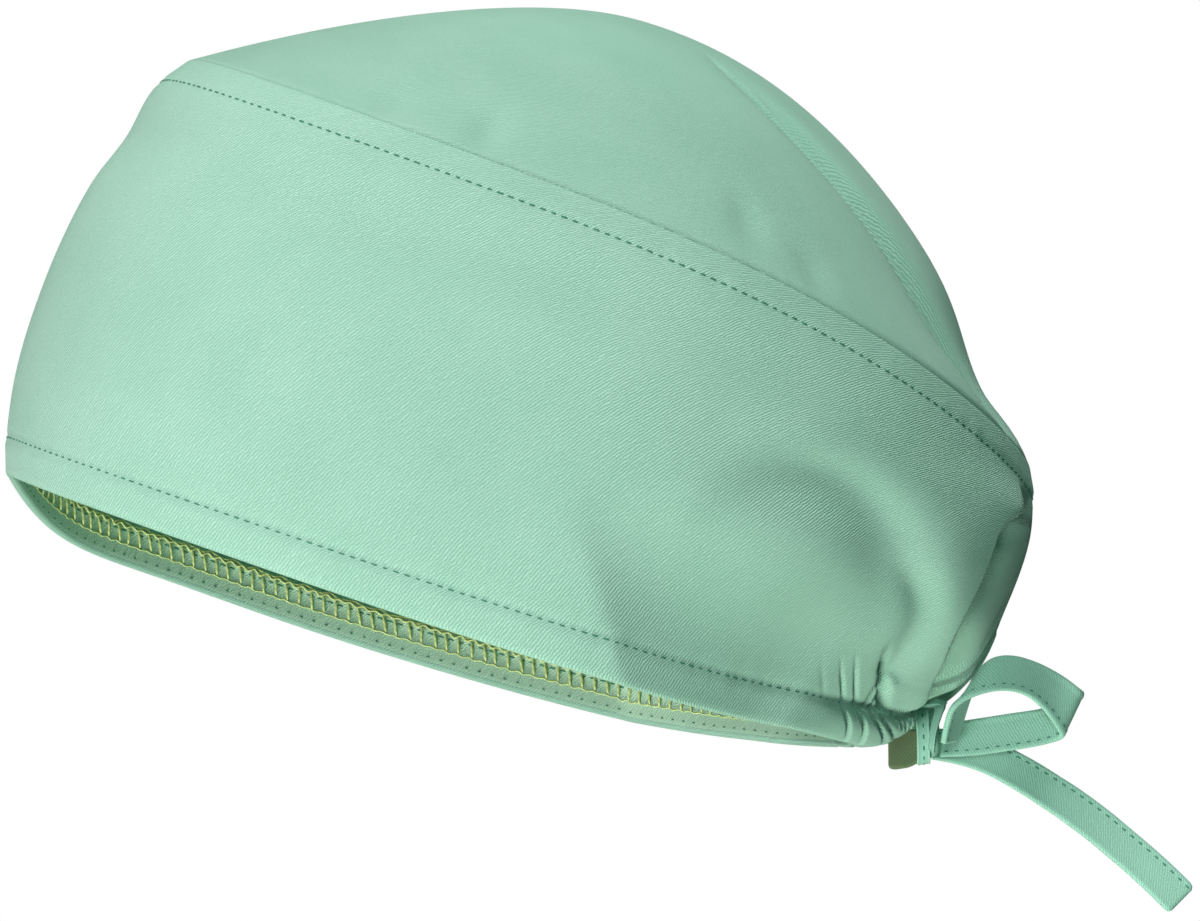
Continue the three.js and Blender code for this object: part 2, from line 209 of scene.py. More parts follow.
# the crown's cloth, drawn in just above the seam at the nape
seamTuck = dict(reach=0.88, half=0.1, depth=3.6, halfAngle=42, fades=0.9)
# pleats of the crown: degrees from the forehead at the seam, degrees that they swing forward towards the
# top, half widths in degrees before and behind, depth, shares of the reach where they begin and are full
crownPleats = [
    dict(angle=160.4, swing=74, before=6.0, behind=7.0, depth=3.0, begins=0.32, full=0.62),
    dict(angle=159.8, swing=74, before=1.1, behind=1.4, depth=4.5, begins=0.34, full=0.55),
    dict(angle=164.4, swing=74, before=0.9, behind=2.2, depth=2.4, begins=0.44, full=0.62),
]
# small dents by the seam: degrees and reach of the middle, their half widths and depth
crownDents = [
    dict(angle=108, reach=0.90, half=2.4, length=0.045, depth=1.1),
    dict(angle=118, reach=0.94, half=2.6, length=0.035, depth=1.1),
    dict(angle=72, reach=0.93, half=2.2, length=0.05, depth=1.2),
    dict(angle=59, reach=0.94, half=2.6, length=0.04, depth=1.1),
]
pleatFades = 0.94  # the reach from which pleats flatten towards the seam


def turnOf(theta):  # degrees from the forehead by the left side
    return np.degrees(theta) % 360


def sideAngle(theta):  # degrees from the forehead, the same on both sides
    return 180 - np.abs(180 - turnOf(theta))


def rimHeight(theta):
    # an eased drop over the ears, with the left side lower behind
    aside, behind, ease = np.sin(theta), (1 - np.cos(theta)) / 2, cap["rimDropEase"]
    drop = (np.hypot(aside, ease) - ease) / (math.hypot(1, ease) - ease)
    lower = sum(one["drop"] * bell(turnOf(theta) - one["angle"], one["half"]) for one in rimDrops)
    return -cap["rimSideDrop"] * drop - cap["rimLeftDrop"] * aside * behind - lower


def seamHeight(theta):
    ahead = np.cos(theta)
    return (cap["seamMean"] + cap["seamTilt"] * ahead
            + (cap["seamSideRise"] - cap["seamRearRise"] * ahead) * np.sin(theta) ** 2)


def archHeight(theta):  # how far the edge rises in the small arch above the knot
    return cap["archRise"] * bell(turnOf(theta) - cap["archAngle"], cap["archHalf"])


def wallHeight(theta):  # from the free edge to the seam
    return seamHeight(theta) - rimHeight(theta) - archHeight(theta)


def bandRelief(theta, up):
    # minus each fold's depth times its bell and its fade in height, plus the puff's bell, minus the dent's
    # ring, plus the swell's; the second answer is how far the folds lap along the wall, towards the nape
    turn = sideAngle(theta)
    out, lap = np.zeros(np.broadcast(theta, up).shape), np.zeros(np.broadcast(theta, up).shape)
    for fold in bandFolds:
        reach = between(fold["begins"], fold["full"], fold["fades"], fold["gone"], up)
        aside = turn - fold["angle"] - fold["swing"] * (1 - smooth(foldSwing["low"], foldSwing["high"], up))
        aside = aside - foldSwing["top"] * smooth(foldSwing["topLow"], foldSwing["topHigh"], up)
        share = reach * lopsided(aside, fold["before"], fold["behind"])
        out -= fold["depth"] * share
        lap += fold["lap"] * share
    along = (turn - puff["angle"]) * cap["wallPerDegree"]
    above = up * (seamHeight(theta) - rimHeight(theta)) - puff["up"]
    distance = np.hypot(along, above)
    out += puff["height"] * bell(distance, puff["radius"])
    upper = smooth(hollow["begins"], hollow["full"], above / (distance + 1))
    upper = upper * smooth(*hollow["left"], along)
    past = distance - hollow["radius"]
    out -= hollow["depth"] * upper * lopsided(past, hollow["within"], hollow["beyond"])
    swell = lopsided(past - hollow["swellPast"], hollow["swellWithin"], hollow["swellBeyond"])
    out += hollow["swell"] * upper * swell * (1 - smooth(*hollow["swellFades"], up))
    return out, lap


def wallOval(theta, up):
    # oval of the wall at a share of its height: squarer in front, drawn together behind near the rim
    offset = {key: throughKnots(wallProfile["up"], wallProfile[key], up)
              for key in ("front", "side", "back")}
    front = cap["rimLength"] / 2 + offset["front"] + cap["widestPlace"]
    back = cap["rimLength"] / 2 + offset["back"] - cap["widestPlace"]
    side = cap["rimWidth"] / 2 + offset["side"]
    ahead, aside = np.cos(theta), np.sin(theta)
    reach = np.where(ahead > 0, front, back)
    squareness = cap["rimSquareness"] + (cap["seamSquareness"] - cap["rimSquareness"]) * up
    power = np.where(ahead > 0, squareness, 2.0)
    square = (np.abs(ahead) ** power + np.abs(aside) ** power) ** (-1 / power)
    drawn = smooth(cap["pinchBegins"], cap["pinchFull"], sideAngle(theta))
    drawn = cap["pinchShare"] * drawn * (1 - smooth(cap["pinchFades"], cap["pinchGone"], up))
    outward = unit(np.stack(np.broadcast_arrays(-ahead * side, -aside * reach, 0 * up * ahead), -1))
    place = np.stack([cap["widestPlace"] - reach * ahead * square,
                      -side * aside * square * (1 - drawn), 0 * reach], -1)
    return place, outward


def tilted(points):  # from the rim's plane to the frame, in which the forehead is higher
    tilt = math.radians(cap["rimTilt"])
    x, y, z = np.moveaxis(points, -1, 0)
    run, rise = math.cos(tilt), math.sin(tilt)
    return np.stack([x * run + z * rise, y, z * run - x * rise], -1)


# the rear quarter, drawn in by the tie: a crease in front of it, then the wall falls away behind and below
drawnRear = dict(angle=109.2, lean=-0.42, leanTo=32, depth=12.0, run=30.0, soft=0.8, up=14.0, gone=46.0,
                 eases=130, over=160)

# gathers of the casing by the knot: angle where a groove meets the hem line, degrees that it leans back
# for each millimetre up, half width and depth; those above it have the heights between which they are full
casingGathers = [
    dict(angle=146.1, lean=-0.48, half=0.8, depth=0.9),
    dict(angle=148.9, lean=-0.49, half=0.8, depth=1.3),
    dict(angle=150.3, lean=-0.97, half=0.7, depth=1.3),
    dict(angle=152.0, lean=-1.10, half=0.7, depth=1.4),
    dict(angle=154.6, lean=-1.50, half=0.7, depth=1.3),
    dict(angle=158.0, lean=-1.60, half=0.7, depth=1.1),
]
upperGathers = [
    dict(angle=143.2, lean=-0.60, half=1.1, depth=0.2, low=9.0, high=11),
    dict(angle=146.7, lean=-0.64, half=0.8, depth=0.7, low=8.8, high=11),
    dict(angle=148.8, lean=-0.61, half=0.8, depth=0.9, low=8.8, high=12),
    dict(angle=150.3, lean=-0.23, half=0.7, depth=1.0, low=8.8, high=13),
    dict(angle=151.5, lean=-0.25, half=0.7, depth=1.2, low=8.8, high=14),
    dict(angle=153.8, lean=-0.62, half=1.8, depth=3.4, low=9.0, high=16),
    dict(angle=153.0, lean=-0.40, half=5.2, depth=2.4, low=16, high=36),
]
gatherFade = dict(below=1.2, above=8.0, perDegree=2.4, casing=(6.8, 8.4))
# the casing of the tie, in degrees: it puffs out from begins to tip, and narrows into the knot
casing = dict(begins=139, full=152, tip=168, flatBy=172, puff=1.9, press=0.8, pressHalf=1.1,
              narrowFrom=154, narrowTo=166, wideBy=174, narrow=0.34, middle=2.6, reach=12)
# the fold that hangs over the casing
flapRoll = dict(angle=159.5, half=4.5, height=12.0, halfHeight=3.0, out=1.5)

# what sewing does to the band: the height of its stitch lines, how far they press into the cloth, the step
# of the thicker strips beside them, and the puckers along them
sewing = dict(hemLine=8.4, seamLine=6.0, press=0.35, pressHalf=0.9, allowance=0.3, step=(-0.6, 0.8),
              pucker=0.16, puckerHem=3.0, puckerSeam=2.4, puckerWaves=(47, 61, 79, 97), stitchedTo=149)


def drawnIn(theta, height):
    # behind the leaning crease the wall recedes by an exponential of the way along it, most at the rim
    crease = drawnRear["angle"] + drawnRear["lean"] * np.clip(height, 0, drawnRear["leanTo"])
    along = (sideAngle(theta) - crease) * cap["wallPerDegree"]
    soft = drawnRear["soft"]
    along = soft * np.logaddexp(0, along / soft)
    depth = drawnRear["depth"] * (1 - np.exp(-along / drawnRear["run"]))
    depth = depth * (1 - smooth(drawnRear["eases"], drawnRear["over"], sideAngle(theta)))
    return depth * (1 - smooth(drawnRear["up"], drawnRear["gone"], height))


def bandGathers(theta, height):
    # grooves leaning with the drawn cloth, each a bell across and a faded stretch along; the casing puffs
    # out between its edge and its stitches, and the fold above it rolls over
    turn, above = sideAngle(theta), height - sewing["hemLine"]

    def groove(one, length):
        aside = turn - (one["angle"] + one["lean"] * above)
        return one["depth"] * length * bell(aside * gatherFade["perDegree"], one["half"])

    out = -sum(groove(one, 1 - smooth(*gatherFade["casing"], height)) for one in casingGathers)
    for one in upperGathers:
        out -= groove(one, between(one["low"] - gatherFade["below"], one["low"] + gatherFade["below"],
                                   one["high"], one["high"] + gatherFade["above"], height))
    tube = between(casing["begins"], casing["full"], casing["tip"], casing["flatBy"], turn)
    share = np.clip(height / sewing["hemLine"], 0, 1)
    pressed = casing["press"] * bell(above, casing["pressHalf"])
    out += tube * (casing["puff"] * np.sin(math.pi * share) - pressed)
    out += flapRoll["out"] * bell(turn - flapRoll["angle"], flapRoll["half"]) * bell(
        height - flapRoll["height"], flapRoll["halfHeight"])
    return out


def narrowed(theta, height):
    # heights near the rim draw together towards the casing's middle as it runs into the knot
    amount = casing["narrow"] * between(casing["narrowFrom"], casing["narrowTo"], casing["tip"],
                                        casing["wideBy"], sideAngle(theta))
    over = np.clip(height - sewing["hemLine"], 0, None)
    return height - amount * (height - casing["middle"]) * bell(over, casing["reach"])


def bandSewing(theta, height, wall):
    # pressed stitch lines along hem and seam, the thicker strips beside them, and small uneven puckers
    below = wall - height
    hem, seam = height - sewing["hemLine"], below - sewing["seamLine"]
    out = -sewing["press"] * (bell(hem, sewing["pressHalf"]) + bell(seam, sewing["pressHalf"]))
    out += sewing["allowance"] * sum(1 - smooth(*sewing["step"], line) for line in (hem, seam))
    uneven = sewing["pucker"] * wander(theta, sewing["puckerWaves"], 3)
    return out + uneven * (bell(hem, sewing["puckerHem"]) + bell(seam, sewing["puckerSeam"]))


def bandLocal(theta, height, gathered=True):
    # wall oval at that height, moved outwards by the relief and by the sewing
    theta, height = np.broadcast_arrays(theta, height)
    low, full = rimHeight(theta), seamHeight(theta) - rimHeight(theta)
    up = (archHeight(theta) + narrowed(theta, height)) / full
    place, outward = wallOval(theta, up)
    out, lap = bandRelief(theta, up)
    out = out - drawnIn(theta, height)
    if gathered:
        out = out + bandSewing(theta, height, wallHeight(theta)) + bandGathers(theta, height)
    lap = lap * np.sign(180 - turnOf(theta))
    sidelong = np.stack([-outward[..., 1], outward[..., 0], 0 * lap], -1)
    place = place + outward * out[..., None] + sidelong * lap[..., None]
    place[..., 2] = low + up * full
    return place


def bandSkin(theta, height, depth=0.0):
    # the band's outer face at an angle and a height above its free edge, or a depth inside that face,
    # straight in from the wall as it would be without gathers
    step, rise = 0.006, 0.8
    around = bandLocal(theta + step, height, False) - bandLocal(theta - step, height, False)
    along = bandLocal(theta, height + rise, False) - bandLocal(theta, height - rise, False)
    normal = unit(np.cross(around, along))
    return tilted(bandLocal(theta, height) - normal * np.asarray(depth)[..., None]), tilted(normal)


def crownLocal(theta, reach):
    # straight lines from the seam to the top in plan, falling by a power of the reach, then tuck,
    # pleats and dents
    theta, reach = np.broadcast_arrays(theta, reach)
    seam = bandLocal(theta, wallHeight(theta))
    ahead = np.cos(theta)
    ends = np.where(ahead > 0, cap["frontFullness"], cap["backFullness"])
    power = cap["sideFullness"] + (ends - cap["sideFullness"]) * ahead ** 2
    top = cap["crownTop"]
    place = np.stack([seam[..., 0] * reach, seam[..., 1] * reach,
                      top + (seam[..., 2] - top) * reach ** power], -1)
    tuck = bell(reach - seamTuck["reach"], seamTuck["half"]) * (1 - smooth(seamTuck["fades"], 1, reach))
    out = -seamTuck["depth"] * bell(180 - sideAngle(theta), seamTuck["halfAngle"]) * tuck
    for pleat in crownPleats:
        length = between(pleat["begins"], pleat["full"], pleatFades, 1, reach)
        aside = sideAngle(theta) - pleat["angle"] + pleat["swing"] * (1 - reach)
        out -= pleat["depth"] * length * lopsided(aside, pleat["before"], pleat["behind"])
    for dent in crownDents:
        out -= dent["depth"] * bell(turnOf(theta) - dent["angle"], dent["half"]) * bell(
            reach - dent["reach"], dent["length"])
    outward = wallOval(theta, np.ones_like(theta))[1] * reach[..., None]
    outward[..., 2] = 1
    return place + unit(outward) * out[..., None]


# shader maths

class Value:
    # a socket, or a number that has not become one yet, on which maths can be written
    def __init__(self, tree, socket):
        self.tree, self.socket = tree, socket

    def join(self, operation, first, second=None):
        node = self.tree.nodes.new("ShaderNodeMath")
        node.operation = operation
        for slot, value in zip(node.inputs, (first, second)):
            if isinstance(value, Value):
                self.tree.links.new(value.socket, slot)
            elif value is not None:
                slot.default_value = value
        return Value(self.tree, node.outputs[0])

    def __add__(self, other): return self.join("ADD", self, other)
    def __radd__(self, other): return self.join("ADD", other, self)
    def __sub__(self, other): return self.join("SUBTRACT", self, other)
    def __rsub__(self, other): return self.join("SUBTRACT", other, self)
    def __mul__(self, other): return self.join("MULTIPLY", self, other)
    def __rmul__(self, other): return self.join("MULTIPLY", other, self)
    def __truediv__(self, other): return self.join("DIVIDE", self, other)
    def __rtruediv__(self, other): return self.join("DIVIDE", other, self)
    def sine(self): return self.join("SINE", self)
    def root(self): return self.join("SQRT", self)
    def below(self, limit): return self.join("LESS_THAN", self, limit)


class Finish:
    # the nodes of a material, or of the surround, under construction
    def __init__(self, owner):
        owner.use_nodes = True
        self.owner, self.tree = owner, owner.node_tree
        self.tree.nodes.clear()

    def node(self, kind, settings=None, inputs=None, output=0):
        made = self.tree.nodes.new("ShaderNode" + kind)
        for key, value in (settings or {}).items():
            setattr(made, key, value)
        for key, value in (inputs or {}).items():
            if isinstance(value, Value):
                self.tree.links.new(value.socket, made.inputs[key])
            else:
                made.inputs[key].default_value = value
        return Value(self.tree, made.outputs[output]) if len(made.outputs) else None

    def mix(self, factor, first, second):  # of two colours
        settings = dict(data_type="RGBA", clamp_factor=True)
        return self.node("Mix", settings, {0: factor, 6: first, 7: second}, 2)

    def clothUv(self):  # the piece's own uv, whole and as two values
        uv = self.node("UVMap", {"uv_map": "cloth"})
        u = self.node("SeparateXYZ", inputs={0: uv})
        return uv, u, Value(self.tree, u.socket.node.outputs[1])

    def surface(self, inputs):
        shader = self.node("BsdfPrincipled", inputs=inputs)
        self.node("OutputMaterial", inputs={"Surface": shader})
        return self.owner


def linear(red, green, blue):  # a colour as it is seen on screen, 0 to 255, made linear and opaque
    parts = [c / 255 for c in (red, green, blue)]
    return (*(c / 12.92 if c <= 0.04045 else ((c + 0.055) / 1.055) ** 2.4 for c in parts), 1)


# twill: diagonal ribs on the cloth's own coordinates, in metres, from the shade to the tint;
# each noise has its scale, its detail and its share
# pale is the colour of the turn-up's inside: its wrong side, and painted light inside the rim
twill = dict(pitch=0.62 * mm, lean=55, ribBump=1.0, bumpDepth=0.12 * mm, tint=(182, 221, 203),
             shade=(141, 191, 168), pale=(206, 240, 212), paleAndLitShare=0.65, roughness=0.86, ribShine=0.06,
             stray=(900.0, 1.0, 0.8), fleck=(2600.0, 2.0, 0.8), cloud=(45.0, 3.0, 0.35), ribShare=0.9,
             darken=0.57, ribHeight=0.8, fleckHeight=0.3, plainFrom=0.35)


def twillFinish(name, tint=twill["tint"], shade=twill["shade"], pitch=twill["pitch"], lean=twill["lean"],
                ribBump=twill["ribBump"], paleAndLitBelow=None, plainWithin=None):
    # ribs: a sine of the distance across them, made uneven; flecks and clouds are noise; below a height on
    # the cloth it is painted paler, for its wrong side and as painted light inside the rim; within a
    # distance of the middle the ribs fade out
    cloth = Finish(bpy.data.materials.new(name))
    uv, u, v = cloth.clothUv()

    def noise(key):
        scale, detail, share = twill[key]
        return cloth.node("TexNoise", {"noise_dimensions": "2D"},
                          {"Vector": uv, "Scale": scale, "Detail": detail}), share

    stray, strayShare = noise("stray")
    lean = math.radians(lean)
    across = (u * math.sin(lean) - v * math.cos(lean)) / pitch + stray * strayShare
    swing = (across * (2 * math.pi)).sine() * 0.5
    if plainWithin:
        away = {"Value": (u * u + v * v).root(), "From Min": twill["plainFrom"] * plainWithin,
                "From Max": plainWithin}
        swing = swing * cloth.node("MapRange", {"interpolation_type": "SMOOTHSTEP"}, away)
    rib = swing + 0.5
    (fleck, fleckShare), (cloud, cloudShare) = noise("fleck"), noise("cloud")
    light = rib * twill["ribShare"] + fleck * fleckShare + cloud * cloudShare - twill["darken"]
    colour = cloth.mix(light, linear(*shade), linear(*tint))
    if paleAndLitBelow:
        pale = cloth.mix(twill["paleAndLitShare"], colour, linear(*twill["pale"]))
        colour = cloth.mix(v.below(paleAndLitBelow), colour, pale)
    height = rib * twill["ribHeight"] + fleck * twill["fleckHeight"]
    bump = cloth.node("Bump", inputs={"Height": height, "Strength": ribBump,
                                      "Distance": twill["bumpDepth"]})
    return cloth.surface({"Base Color": colour, "Roughness": twill["roughness"] - rib * twill["ribShine"],
                          "Normal": bump, "Specular IOR Level": 0.25, "Sheen Weight": 0.25,
                          "Sheen Roughness": 0.45, "Sheen Tint": (0.75, 0.92, 0.84, 1)})


# thread: the lengths of one twist along it and round it
thread = dict(twistAlong=0.5 * mm, twistRound=0.9 * mm, bump=0.3, bumpDepth=0.05 * mm, roughness=0.62)


def threadFinish(name, tint, shade):
    # twisted thread: a sine along its length, so that it turns lighter and darker
    spun = Finish(bpy.data.materials.new(name))
    uv, u, v = spun.clothUv()
    turns = u / thread["twistAlong"] + v / thread["twistRound"]
    twist = (turns * (2 * math.pi)).sine() * 0.5 + 0.5
    colour = spun.mix(twist, linear(*shade), linear(*tint))
    bump = spun.node("Bump", inputs={"Height": twist, "Strength": thread["bump"],
                                     "Distance": thread["bumpDepth"]})
    return spun.surface({"Base Color": colour, "Roughness": thread["roughness"], "Normal": bump,
                         "Specular IOR Level": 0.35})


tapePitch = twill["pitch"] * 0.9  # the ties' cloth is a little finer
capTwill = twillFinish("cap twill", paleAndLitBelow=9.2 * mm)  # the turned-up hem's inside is painted paler: its wrong side, and painted light inside the rim
# the crown's cloth is painted a little darker than the band's, painted shade on the top of the cap
crownShadedTwill = twillFinish("crown shaded twill", (177, 217, 199), (137, 187, 164), lean=14, plainWithin=80 * mm)
tieTwill = twillFinish("tie twill", (172, 220, 201), (138, 193, 169), tapePitch, ribBump=0.3)
# dark olive tape for the short end under the nape: painted shade from the casing above it
tieEndShade = twillFinish("tie end shade", (106, 124, 90), (92, 110, 78), tapePitch, ribBump=0.2)
greenThread = threadFinish("green thread", (74, 144, 118), (46, 110, 88))
limeThread = threadFinish("overlock thread", (224, 234, 164), (186, 204, 126))


# threads and stitches

def sweep(path, sides, radius):
    # tube: a ring of the given radius carried along a path, open at both ends; points, faces and corner uv
    tangent = unit(np.gradient(path, axis=0))
    helper = np.where(np.abs(tangent[:, 2:]) > 0.9, [[1.0, 0, 0]], [[0, 0, 1.0]])
    first = unit(np.cross(tangent, helper))
    second = np.cross(tangent, first)
    turn = roundTurn(sides)
    ring = first[:, None] * np.cos(turn)[:, None] + second[:, None] * np.sin(turn)[:, None]
    points = path[:, None] + ring * radius
    uv = gridCorners(uvGrid(wayAlong(path), np.linspace(0, 1, sides + 1)))
    faces = gridFaces(len(path), sides, True)[:, ::-1]
    return points.reshape(-1, 3), faces, uv.reshape(-1, 4, 2)[:, ::-1].reshape(-1, 2)


# a stitch: shares of its length, its thickness there and how far it rises, both in radii
spindle = dict(sides=6, share=[-0.5, -0.42, -0.2, 0.2, 0.42, 0.5], thick=[0.15, 0.7, 1.0, 1.0, 0.7, 0.15],
               lift=[-0.75, -0.15, 0.3, 0.3, -0.15, -0.75], uvLength=1.4)


def stitchRow(name, centres, along, normal, length, radius, material=greenThread):
    # one stitch is a spindle, highest in its middle; all of a row are one mesh
    sides, share, thick, lift = (np.array(spindle[key]) for key in ("sides", "share", "thick", "lift"))
    turn = roundTurn(sides)
    length = np.broadcast_to(length, (len(centres),))
    aside = np.cross(normal, along)
    middle = (centres[:, None] + along[:, None] * (share[None, :] * length[:, None])[..., None]
              + normal[:, None] * (lift * radius)[None, :, None])
    ring = (aside[:, None, None] * np.cos(turn)[:, None] + normal[:, None, None] * np.sin(turn)[:, None])
    points = middle[:, :, None] + ring * (thick * radius)[None, :, None, None]
    one = gridFaces(len(share), sides, True)
    ends = np.array([np.arange(sides)[::-1], np.arange(sides) + sides * (len(share) - 1)])
    each = (np.arange(len(centres)) * len(share) * sides)[:, None, None]
    quads, caps = (one + each).reshape(-1, 4), (ends + each).reshape(-1, sides)
    uvOne = gridCorners(uvGrid(share * spindle["uvLength"], np.linspace(0, 1, sides + 1)))
    uv = np.concatenate([np.tile(uvOne, (len(centres), 1)), np.zeros((caps.size, 2))])
    return newPiece(name, points.reshape(-1, 3), [quads, caps], uv, material)


def level(height):  # a line at one height all the way round
    return lambda theta: height + 0 * theta


def evenAngles(height, pitch, depth):
    # angles at which a line round the band has points a pitch apart
    theta = np.linspace(0, 2 * math.pi, 6000)
    length = wayAlong(bandSkin(theta, height(theta), depth)[0])
    count = int(length[-1] / pitch)
    return np.interp((np.arange(count) + 0.5) * length[-1] / count, length, theta)


def bandStitches(name, height, pitch, length, radius, depth, jitter, inside=False, upTo=180):
    # stitches a pitch apart along a line round the band, their lengths a little uneven
    theta = evenAngles(height, pitch, depth)
    theta = theta[sideAngle(theta) <= upTo]
    centre, normal = bandSkin(theta, height(theta), depth)
    step = 0.002
    along = unit(bandSkin(theta + step, height(theta + step), depth)[0] - centre)
    draw = np.random.default_rng(11)
    lengths = length * (1 + draw.normal(0, jitter, len(theta)))
    return stitchRow(name, centre, along, -normal if inside else normal, lengths, radius)


# the side band: one sheet that is turned up inside along its hem and turned in at the seam; rows lie
# closer together in the zones beside hem and seam
band = dict(columns=600, cloth=0.8, turnUp=9.0, foldRadius=0.95, seamRadius=0.15, allowance=6.5,
            layerGap=0.2, turnUpRows=9, hemZone=14.0, hemStep=1.0, middleRows=36, seamZone=11.0,
            seamStep=0.8, insideRows=(0.45, 3.0), flat=(0.65, 0.122), area=0.0705)
# where columns lie closer together: degrees from the forehead by the left side, half width, and how much
bandCrowds = [dict(angle=154, half=13, more=8), dict(angle=206, half=13, more=3),
              dict(angle=102, half=5, more=3)]


def columnAngles(count, crowds):  # columns start and end at the nape, their density a sum of bells
    turn = np.linspace(180, 540, 7200)
    density = 1 + sum(one["more"] * bell((turn - one["angle"] + 180) % 360 - 180, one["half"])
                      for one in crowds)
    share = np.r_[0, np.cumsum((density[1:] + density[:-1]) / 2)]
    return np.radians(np.interp(np.linspace(0, share[-1], count + 1), share, turn))


def bandRowsOf(wall):
    # rows as (height, depth): up-turned hem, its rounded edge, the outer face, the rounded top, the
    # allowance; those near the seam are measured down from it
    radius, small, fold = band["foldRadius"], band["seamRadius"], np.radians(np.linspace(0, 180, 5))[1:-1]
    low = [(h, 2 * radius) for h in np.linspace(band["turnUp"], radius, band["turnUpRows"])]
    low += [(radius - radius * math.sin(a), radius + radius * math.cos(a)) for a in fold]
    hemRows = np.arange(2 * band["hemStep"], band["hemZone"] + band["hemStep"] / 2, band["hemStep"])
    low = np.array(low + [(h, 0.0) for h in (radius, *hemRows)])
    middle = np.linspace(0, 1, band["middleRows"] + 2)[1:-1]
    seamRows = np.arange(band["seamZone"], band["seamStep"], -band["seamStep"])
    high = [(h, 0.0) for h in (*seamRows, small)]
    high += [(small - small * math.sin(a), small - small * math.cos(a)) for a in fold[:2]]
    inside = band["cloth"] + band["layerGap"]
    high = np.array(high + [(h, inside) for h in (*band["insideRows"], band["allowance"])])
    wall = wall[None, :]
    outer = band["hemZone"] + middle[:, None] * (wall - band["seamZone"] - band["hemZone"])
    heights = np.concatenate([low[:, :1] + 0 * wall, outer, wall - high[:, :1]])
    depths = np.concatenate([low[:, 1], 0 * middle, high[:, 1]])
    return heights, depths[:, None] + 0 * wall


# columns lean with the gathers: middle and half width in degrees, degrees a millimetre, and up to where
columnLean = dict(angle=149, half=15, lean=-0.6, high=24)


def makeBand():
    theta = columnAngles(band["columns"], bandCrowds)
    lean = np.radians(columnLean["lean"]) * bell(sideAngle(theta) - columnLean["angle"], columnLean["half"])
    lean = lean * np.sign(180 - turnOf(theta))
    top = columnLean["high"] - sewing["hemLine"]
    heights, depths = bandRowsOf(wallHeight(theta + lean * top))
    angles = theta + lean * np.minimum(heights - sewing["hemLine"], top)
    points = bandSkin(angles, heights, depths)[0]
    # the cloth's own coordinates: the way round each row from the forehead, and the mean climb of the rows
    girth = np.cumsum(np.linalg.norm(np.diff(points, axis=1, prepend=points[:, :1]), axis=2), axis=1)
    girth = girth - girth[:, [np.argmin(np.abs(theta - 2 * math.pi))]]
    uv = np.stack(np.broadcast_arrays(girth, meanClimb(points)[:, None]), -1)
    faces = gridFaces(len(points), band["columns"], True)
    piece = newPiece("sideBand", points[:, :-1].reshape(-1, 3), [faces], gridCorners(uv), capTwill,
                     "side_band")
    return thicken(piece, band["cloth"])


# the crown: a dome whose edge passes over the band's folded top and hangs inside it
crown = dict(columns=600, rows=56, firstReach=0.02, rowEase=0.85, cloth=0.8, clear=0.12, tuckDepth=2.1,
             hangs=(0.3, 1.2, 3.0, 6.5), flat=(0.254, 0.204), area=0.0385)
crownCrowds = [dict(angle=160, half=8, more=6), dict(angle=173, half=8, more=8),
               dict(angle=187, half=8, more=8), dict(angle=200, half=8, more=3)]
# columns swing forward with the pleats: degrees between which they do, and the reach below which no more
crownLean = dict(begins=50, full=158, fades=162, swing=74, upTo=0.32)


def makeCrown():
    theta = columnAngles(crown["columns"], crownCrowds)
    wall, turn = wallHeight(theta), sideAngle(theta)
    lean = between(crownLean["begins"], crownLean["full"], crownLean["fades"], 180, turn)
    lean = np.radians(crownLean["swing"]) * lean * np.sign(180 - turnOf(theta))
    radius = np.linalg.norm(bandLocal(theta, wall)[..., :2], axis=-1)
    share = np.linspace(crown["firstReach"], 1, crown["rows"]) ** crown["rowEase"]
    reach = share[:, None] * (1 - crown["clear"] / radius)[None, :]
    angles = theta[None, :] - lean[None, :] * (1 - np.maximum(share, crownLean["upTo"]))[:, None]
    local = crownLocal(angles, reach)[::-1]
    hang = np.array(crown["hangs"])[:, None]
    around = theta[None, :] + 0 * hang
    inner = bandSkin(around, wall[None, :] - hang, crown["tuckDepth"] + 0 * around)[0]
    points = np.concatenate([inner[::-1], tilted(local)])
    angles = np.concatenate([around, angles[::-1]])
    top = tilted(np.array([[0.0, 0.0, cap["crownTop"]]]))
    arc = meanClimb(local)
    arc = np.concatenate([arc[0] - hang[::-1, 0], arc]) - arc[-1]
    uv = np.stack([np.cos(angles) * arc[:, None], np.sin(angles) * arc[:, None]], -1)
    rows, columns = len(points), crown["columns"]
    vertices = np.concatenate([points[:, :-1].reshape(-1, 3), top])
    faces = gridFaces(rows, columns, True)
    ring = (rows - 1) * columns + np.arange(columns)
    fan = np.stack([ring, np.roll(ring, -1), np.full(columns, len(vertices) - 1)], -1)
    fanUv = np.stack([uv[-1, :-1], uv[-1, 1:], np.zeros((columns, 2))], 1).reshape(-1, 2)
    corners = np.concatenate([gridCorners(uv), fanUv])
    piece = newPiece("crownPanel", vertices, [faces, fan], corners, crownShadedTwill, "crown")
    return thicken(piece, crown["cloth"])


sideBand = makeBand()
crownPanel = makeCrown()
print("cloth made: band", len(sideBand.data.polygons), "faces, crown", len(crownPanel.data.polygons))

# rows of stitches: hem and seam on the outer face, two more on the turn-up's inner face
insideDepth = 2 * band["foldRadius"]
topStitch = dict(pitch=2.45, length=1.55, radius=0.19, depth=0.0, jitter=0.14)
backStitch = dict(pitch=2.45, length=1.7, radius=0.2, depth=insideDepth, jitter=0.06, inside=True)
edgeStitch = dict(backStitch, pitch=3.1, length=0.8, radius=0.18)
backLine, edgeLine = 7.6, 2.2
hemStitches = bandStitches("hemStitches", level(sewing["hemLine"]), upTo=sewing["stitchedTo"], **topStitch)
seamStitches = bandStitches("seamStitches", lambda t: wallHeight(t) - sewing["seamLine"], **topStitch)
hemBackStitches = bandStitches("hemBackStitches", level(backLine), upTo=sewing["stitchedTo"], **backStitch)
hemEdgeStitches = bandStitches("hemEdgeStitches", level(edgeLine), upTo=sewing["stitchedTo"], **edgeStitch)

